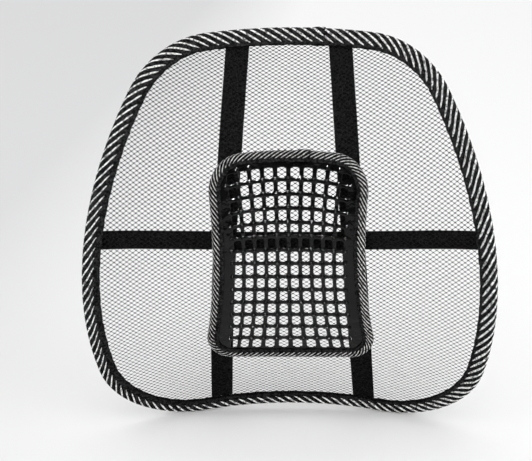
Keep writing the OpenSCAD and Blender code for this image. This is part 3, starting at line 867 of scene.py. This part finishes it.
def woven(name, crown, pitch, rib, slant, depth):
    """Yarns that pass over and under: pitch along the cloth, rib across it, and a slant for twill."""
    n = Nodes(name)
    along, across = n.cloth()
    rib_at = n.math("DIVIDE", across, rib)
    sheared = n.math("ADD", along, n.math("MULTIPLY", across, slant))
    step = n.math("MULTIPLY", n.math("FLOOR", rib_at), 0.5)
    row = n.math("ADD", n.math("DIVIDE", sheared, pitch), step)
    weft = n.math("ABSOLUTE", n.math("SINE", n.math("MULTIPLY", row, math.pi)))
    warp = n.math("ABSOLUTE", n.math("SINE", n.math("MULTIPLY", rib_at, math.pi)))
    height = n.math("MULTIPLY", n.math("POWER", weft, WEFT_ROUND), n.math("POWER", warp, WARP_ROUND))
    fuzz = n.noise(WEAVE_FUZZ)
    # Painted shade: the colour darkens in the weave's grooves, where the height is low; the fuzz adds
    # random tone.
    shade = n.math("MULTIPLY", n.ranged(height, 0.3, 1), n.math("POWER", fuzz, FUZZ_CONTRAST))
    n.bump(n.math("ADD", height, n.math("MULTIPLY", fuzz, FUZZ_HEIGHT)), depth)
    return n.finish(n.between(shade, BLACK, crown), n.ranged(n.noise(180), *CLOTH_ROUGHNESS),
                    Specular_IOR_Level=CLOTH_SPECULAR)


def twisted_yarn(name, valley, crown, pitch):
    """A plied yarn, whose plies slant round it. Without cloth places it shows only its fibre."""
    n = Nodes(name)
    along, across = n.cloth()
    ply = n.math("ADD", n.math("DIVIDE", along, pitch), n.math("MULTIPLY", across, 0.8))
    height = n.math("ABSOLUTE", n.math("SINE", n.math("MULTIPLY", ply, math.pi)))
    fuzz = n.noise(450, 5)
    n.bump(n.math("ADD", height, fuzz), 0.12)
    # Painted shade: the colour falls towards valley in the grooves between plies; the fuzz adds random
    # tone.
    shade = n.math("MULTIPLY", n.ranged(height, 0.6, 1), n.ranged(fuzz, 0.1, 1.5))
    return n.finish(n.between(shade, valley, crown), 0.6, Specular_IOR_Level=CLOTH_SPECULAR)


def knitted(name):
    """Fine polyester yarn, too thin to show more than its fibre."""
    n = Nodes(name)
    fibre = n.noise(3000)
    n.bump(fibre, 0.08)
    return n.finish(n.between(fibre, (0.002, 0.002, 0.002), (0.018, 0.018, 0.0185)),
                    n.ranged(n.noise(220), *CLOTH_ROUGHNESS), Specular_IOR_Level=CLOTH_SPECULAR)


def moulded_plastic(name):
    """Glossy black plastic with a faint mould texture and a few dulled patches."""
    n = Nodes(name)
    grain = n.math("MULTIPLY", n.noise(1600, 2), 0.03)
    n.bump(n.math("ADD", grain, n.noise(110)), 0.5)
    tone = n.between(n.noise(90), BLACK, (0.004, 0.004, 0.004))
    return n.finish(tone, n.ranged(n.noise(140), 0.08, 0.16), Specular_IOR_Level=0.2)


def drawn_steel(name, low, high, roughness):
    """Drawn wire or crimped tube, a little uneven in colour and shine."""
    n = Nodes(name)
    streaks = n.noise(700, 5)
    n.bump(streaks, 0.01)
    return n.finish(n.between(streaks, low, high), n.ranged(n.noise(260), roughness, roughness + 0.15),
                    Metallic=1.0)


def dress(node, material):
    """Gives a carried-over CAD node its material."""
    for slot in frame["nodes"][node].material_slots:
        slot.link = "OBJECT"
        slot.material = material


# ---- the pieces ----

TWILL = 1 / math.tan(STRIPE_ANGLE)  # slant of the tapes' weave, which the stripes follow

hoop_tape = woven("hoop_tape", crown=(0.045, 0.045, 0.046), pitch=1.35, rib=0.85, slant=TWILL, depth=0.16)
pad_tape = woven("pad_tape", crown=(0.04, 0.04, 0.041), pitch=0.9, rib=0.7, slant=-TWILL, depth=0.12)
webbing = woven("webbing", crown=(0.026, 0.026, 0.027), pitch=1.1, rib=1, slant=0, depth=0.16)
elastic = woven("elastic", crown=(0.02, 0.02, 0.021), pitch=1.5, rib=1, slant=0, depth=0.18)
stripe_yarn = twisted_yarn("stripe_yarn", (0.04, 0.04, 0.04), (0.92, 0.92, 0.91), pitch=1.1)
pad_stripe_yarn = twisted_yarn("pad_stripe_yarn", (0.05, 0.05, 0.05), (0.75, 0.75, 0.74), pitch=0.8)
seam_yarn = twisted_yarn("seam_yarn", (0.002, 0.002, 0.002), (0.03, 0.03, 0.031), pitch=0.6)
knit_yarn = knitted("knit_yarn")
plastic = moulded_plastic("black_plastic")
wire_steel = drawn_steel("wire_steel", (0.42, 0.43, 0.45), (0.62, 0.63, 0.65), roughness=0.25)
sleeve_steel = drawn_steel("sleeve_steel", (0.3, 0.31, 0.33), (0.5, 0.51, 0.53), roughness=0.4)

hoop_rail = Rail(outline(HOOP_ARCS, HOOP_H, HOOP_ROLL), 0.0)
hoop = Tape(hoop_rail, HOOP_ROLL, HOOP_BINDING_W, join=27, selvedge=2.6, pull=4.6)
hoop.shell("hoop_binding_tape", "frame_binding", hoop_tape, step=2.2)
hoop.stripes("hoop_binding_stripes", "frame_binding", stripe_yarn,
             spacing=10.2, width=1.95, height=0.32, lean=1)
hoop.stitches("hoop_binding_stitches", "frame_seam_thread", seam_yarn,
              from_edge=1.9, pitch=3.4, radius=0.24)

pad_rail = Rail(outline(PAD_ARCS, PAD_TOP, PAD_ROLL), PAD_GAP)
pad = Tape(pad_rail, PAD_ROLL, PAD_BINDING_W, join=13, selvedge=3.4, pull=1)
pad.shell("pad_binding_tape", "pad_binding", pad_tape, step=2)
pad.stripes("pad_binding_stripes", "pad_binding", pad_stripe_yarn,
            spacing=5.3, width=0.85, height=0.2, lean=-1)
pad.stitches("pad_binding_stitches", "pad_seam_thread", seam_yarn,
             from_edge=1.3, pitch=3, radius=0.2)

knit(knit_yarn)

strap_rails = [
    band(f"webbing_strap_{word}", f"strap_{word}", strap_line(side), STRAP_BACK, STRAP_W,
         ribs=12, rib_depth=0.14, material=webbing)
    for side, word in ((-1, "left"), (1, "right"))
]
elastic_rail = band("elastic_cross_strap", "elastic_strap", elastic_line(), ELASTIC_BACK, ELASTIC_W,
                    ribs=11, rib_depth=0.16, material=elastic, ripples=True)
bar_tacks("strap_bar_tacks", "strap_end_stitches", strap_rails, STRAP_W, seam_yarn)
bar_tacks("elastic_bar_tacks", "elastic_end_stitches", [elastic_rail], ELASTIC_W, seam_yarn)

massage_net(plastic)
corner_tacks(seam_yarn)

for wire in ("frame_wire", "pad_wire"):
    dress(wire, wire_steel)
for sleeve in ("frame_wire_sleeve", "pad_wire_sleeve"):
    dress(sleeve, sleeve_steel)


# ---- floor, light and camera ----

FLOOR_HALF = 15  # metres
# Painted shade: the floor's colour runs from FLOOR_LIT to FLOOR_SHADED towards the back left.
FLOOR_LIT, FLOOR_SHADED = (0.88, 0.88, 0.882), (0.675, 0.677, 0.683)
SHADE_TO_BACK, SHADE_TO_LEFT, SHADE_START = 0.1, 2.7, 0.45  # shade gained to the metre, and where it starts
MIDDLE = (0, 0, 0.2)  # where the lamps point, in metres
CAMERA_DOWN, CAMERA_YAW, CAMERA_ROLL = 0.36, 0.0345, 0.0115  # radians
CAMERA_DISTANCE, CAMERA_TARGET_Z = 1.122, 185.4  # metres, and mm
SENSOR, LENS, LENS_SHIFT = 36, 76.95, (-0.0447, 0.0642)  # mm, mm, and shares of the picture's width


def floor():
    """A white surface whose colour darkens into a faint painted shade to the back left."""
    mesh = bpy.data.meshes.new("floor")
    square = [(x * FLOOR_HALF, y * FLOOR_HALF, 0) for x, y in ((-1, -1), (1, -1), (1, 1), (-1, 1))]
    mesh.from_pydata(square, [], [(0, 1, 2, 3)])
    n = Nodes("paper_floor")
    place = n.tree.nodes.new("ShaderNodeTexCoord").outputs["Object"]
    parts = n.tree.nodes.new("ShaderNodeSeparateXYZ")
    n.put(parts.inputs[0], place)
    back = n.math("MULTIPLY", parts.outputs[1], SHADE_TO_BACK)
    right = n.math("MULTIPLY", parts.outputs[0], SHADE_TO_LEFT)
    # Painted shade: the floor's colour is darkened by this amount towards the back left.
    shaded = n.math("SUBTRACT", n.math("SUBTRACT", back, right), SHADE_START)
    tone = n.between(n.ranged(shaded, 0, 1), FLOOR_LIT, FLOOR_SHADED)
    mesh.materials.append(n.finish(tone, 0.8, Specular_IOR_Level=0.1))
    plane = bpy.data.objects.new("floor", mesh)
    bpy.context.collection.objects.link(plane)


def aimed(name, data, place):
    """A lamp at a place in metres, turned to the object's middle."""
    lamp = bpy.data.objects.new(name, data)
    lamp.location = place
    lamp.rotation_euler = (Vector(MIDDLE) - Vector(place)).to_track_quat("-Z", "Y").to_euler()
    bpy.context.collection.objects.link(lamp)
    return lamp


def softbox(name, place, size, radiance, diffuse=True):
    """A round lamp, size metres across. Without diffuse it only shows in reflections."""
    data = bpy.data.lights.new(name, "AREA")
    data.shape, data.size = "DISK", size
    data.energy = radiance * math.pi * math.pi * size * size / 4
    aimed(name, data, place).visible_diffuse = diffuse


def key(place, strength, spread):
    """One even light, spread over some degrees."""
    data = bpy.data.lights.new("key", "SUN")
    data.energy, data.angle = strength, math.radians(spread)
    aimed("key", data, place)


def world(strength, glossy):
    """White light from all round, dimmer in reflections so that black stays black."""
    scene_world = bpy.data.worlds.new("studio")
    bpy.context.scene.world = scene_world
    scene_world.use_nodes = True
    tree = scene_world.node_tree
    shade = tree.nodes["Background"]
    path = tree.nodes.new("ShaderNodeLightPath")
    mix = tree.nodes.new("ShaderNodeMapRange")
    mix.inputs["To Min"].default_value = strength
    mix.inputs["To Max"].default_value = glossy
    tree.links.new(path.outputs["Is Glossy Ray"], mix.inputs["Value"])
    tree.links.new(mix.outputs["Result"], shade.inputs["Strength"])
    shade.inputs["Color"].default_value = (1, 1, 1, 1)


def camera():
    """The camera looks down at the front from a little to the right."""
    down, yaw, roll = CAMERA_DOWN, CAMERA_YAW, CAMERA_ROLL
    target = np.array((0, Y_SHIFT, CAMERA_TARGET_Z)) * MM
    forward = np.array((-math.sin(yaw) * math.cos(down), math.cos(yaw) * math.cos(down), -math.sin(down)))
    right = np.array((math.cos(yaw), math.sin(yaw), 0))
    up = np.cross(right, forward)
    turned_right = math.cos(roll) * right - math.sin(roll) * up
    turned_up = math.sin(roll) * right + math.cos(roll) * up
    data = bpy.data.cameras.new("camera")
    data.sensor_width, data.lens = SENSOR, LENS
    data.shift_x, data.shift_y = LENS_SHIFT
    lens = bpy.data.objects.new("camera", data)
    pose = Matrix.Identity(4)
    place = target - CAMERA_DISTANCE * forward
    for column, axis in enumerate((turned_right, turned_up, -forward, place)):
        for row in range(3):
            pose[row][column] = axis[row]
    lens.matrix_world = pose
    bpy.context.collection.objects.link(lens)
    bpy.context.scene.camera = lens


floor()
world(strength=0.95, glossy=0.04)
key(place=(0.3, -1.3, 2), strength=0.55, spread=40)
softbox("right", place=(2.4, -1.2, 0.5), size=1.2, radiance=6)
softbox("glint", place=(-0.5, -1, 2), size=0.4, radiance=900, diffuse=False)
bpy.context.scene.view_settings.view_transform = "Standard"
camera()
